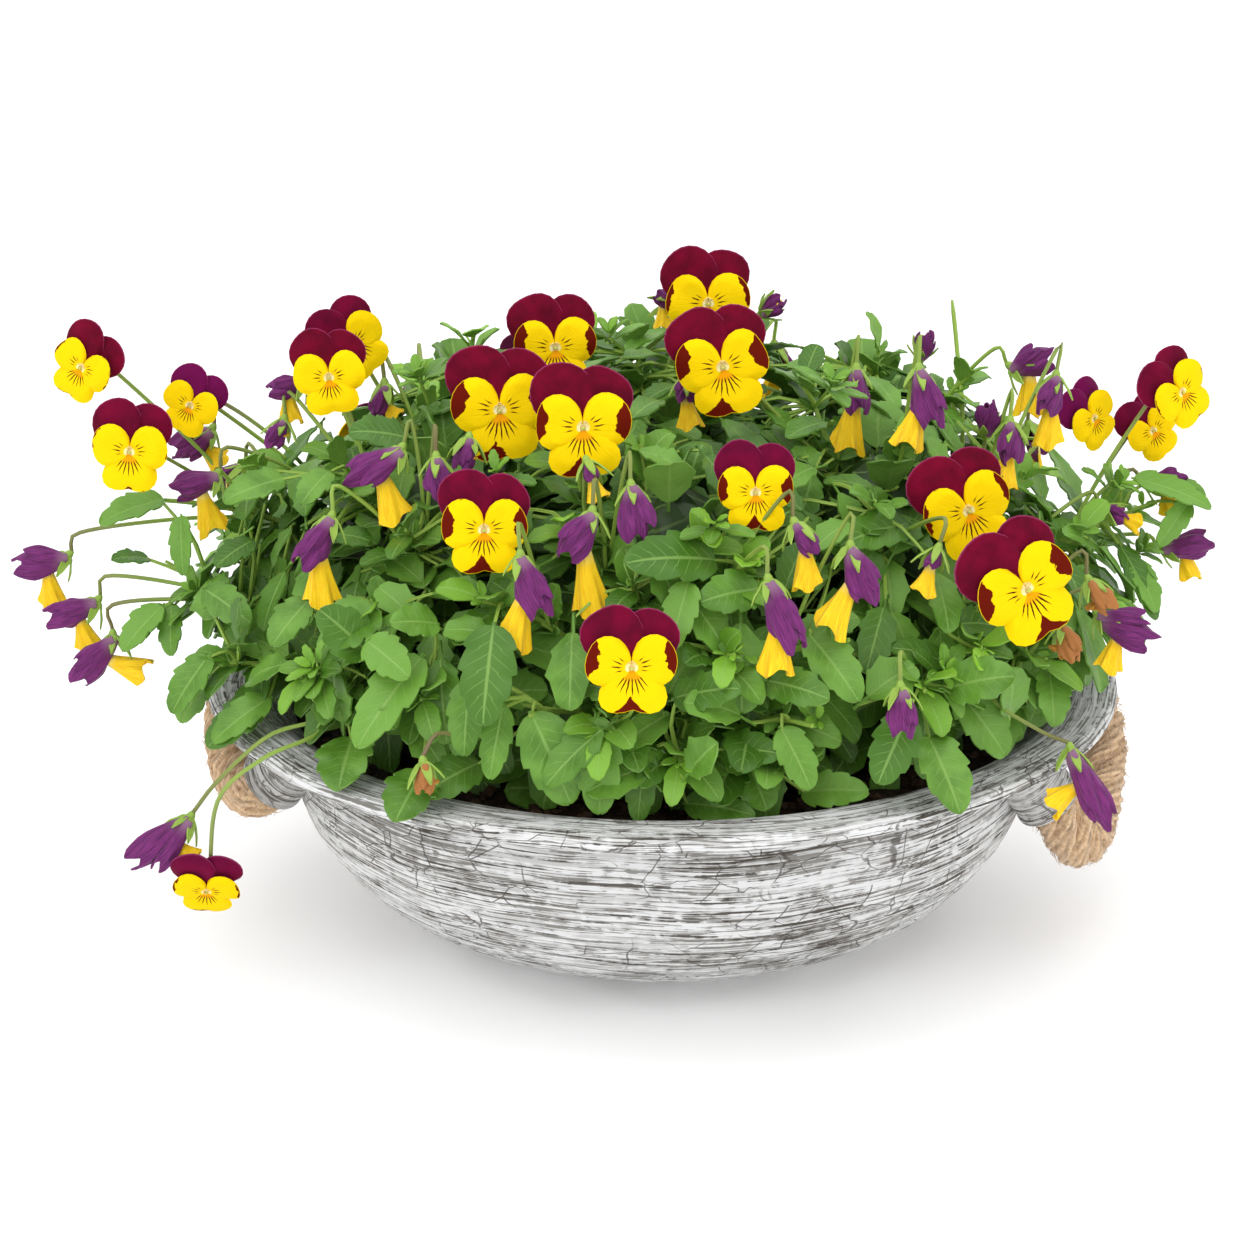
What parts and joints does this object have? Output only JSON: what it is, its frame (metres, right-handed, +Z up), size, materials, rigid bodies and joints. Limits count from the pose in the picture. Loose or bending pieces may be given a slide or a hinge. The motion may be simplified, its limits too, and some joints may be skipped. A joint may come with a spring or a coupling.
{
  "type": "potted pansy planter",
  "caption": "Low round whitewashed bowl with a turned-out rim and rope handles, filled with soil and planted with a mound of maroon and yellow pansies in bloom.",
  "frame": {"origin": "middle of the flat underside of the bowl's foot", "axes": "+Z up, +X to the right and -Y towards the front as pictured"},
  "size_m": [0.46, 0.35, 0.2602],
  "materials": {
    "whitewashed_wood": "matte",
    "potting_soil": "matte",
    "jute_rope": "matte",
    "maroon_petal": "matte",
    "yellow_petal": "satin",
    "foliage": "satin"
  },
  "bodies": {
    "root": {"bowl": "whitewashed_wood", "soil": "potting_soil", "rope_handle_right": "jute_rope", "rope_handle_left": "jute_rope", "bloom_01_upper_petals": "maroon_petal", "bloom_01_lower_petals": "yellow_petal", "bloom_02_upper_petals": "maroon_petal", "bloom_02_lower_petals": "yellow_petal", "bloom_03_upper_petals": "maroon_petal", "bloom_03_lower_petals": "yellow_petal", "bloom_04_upper_petals": "maroon_petal", "bloom_04_lower_petals": "yellow_petal", "bloom_05_upper_petals": "maroon_petal", "bloom_05_lower_petals": "yellow_petal", "bloom_06_upper_petals": "maroon_petal", "bloom_06_lower_petals": "yellow_petal", "bloom_07_upper_petals": "maroon_petal", "bloom_07_lower_petals": "yellow_petal", "bloom_08_upper_petals": "maroon_petal", "bloom_08_lower_petals": "yellow_petal", "bloom_09_upper_petals": "maroon_petal", "bloom_09_lower_petals": "yellow_petal", "bloom_10_upper_petals": "maroon_petal", "bloom_10_lower_petals": "yellow_petal", "bloom_11_upper_petals": "maroon_petal", "bloom_11_lower_petals": "yellow_petal", "bloom_12_upper_petals": "maroon_petal", "bloom_12_lower_petals": "yellow_petal", "bloom_13_upper_petals": "maroon_petal", "bloom_13_lower_petals": "yellow_petal", "bloom_14_upper_petals": "maroon_petal", "bloom_14_lower_petals": "yellow_petal", "bloom_15_upper_petals": "maroon_petal", "bloom_15_lower_petals": "yellow_petal", "bloom_16_upper_petals": "maroon_petal", "bloom_16_lower_petals": "yellow_petal", "bloom_17_upper_petals": "maroon_petal", "bloom_17_lower_petals": "yellow_petal", "bloom_18_upper_petals": "maroon_petal", "bloom_18_lower_petals": "yellow_petal", "bloom_19_upper_petals": "maroon_petal", "bloom_19_lower_petals": "yellow_petal", "bloom_20_upper_petals": "maroon_petal", "bloom_20_lower_petals": "yellow_petal", "bloom_21_upper_petals": "maroon_petal", "bloom_21_lower_petals": "yellow_petal", "bloom_22_upper_petals": "maroon_petal", "bloom_22_lower_petals": "yellow_petal", "bloom_23_upper_petals": "maroon_petal", "bloom_23_lower_petals": "yellow_petal", "plant_middle": "foliage", "plant_front": "foliage", "plant_front_right": "foliage", "plant_back_right": "foliage", "plant_back": "foliage", "plant_back_left": "foliage", "plant_front_left": "foliage"}
  },
  "joints": []
}
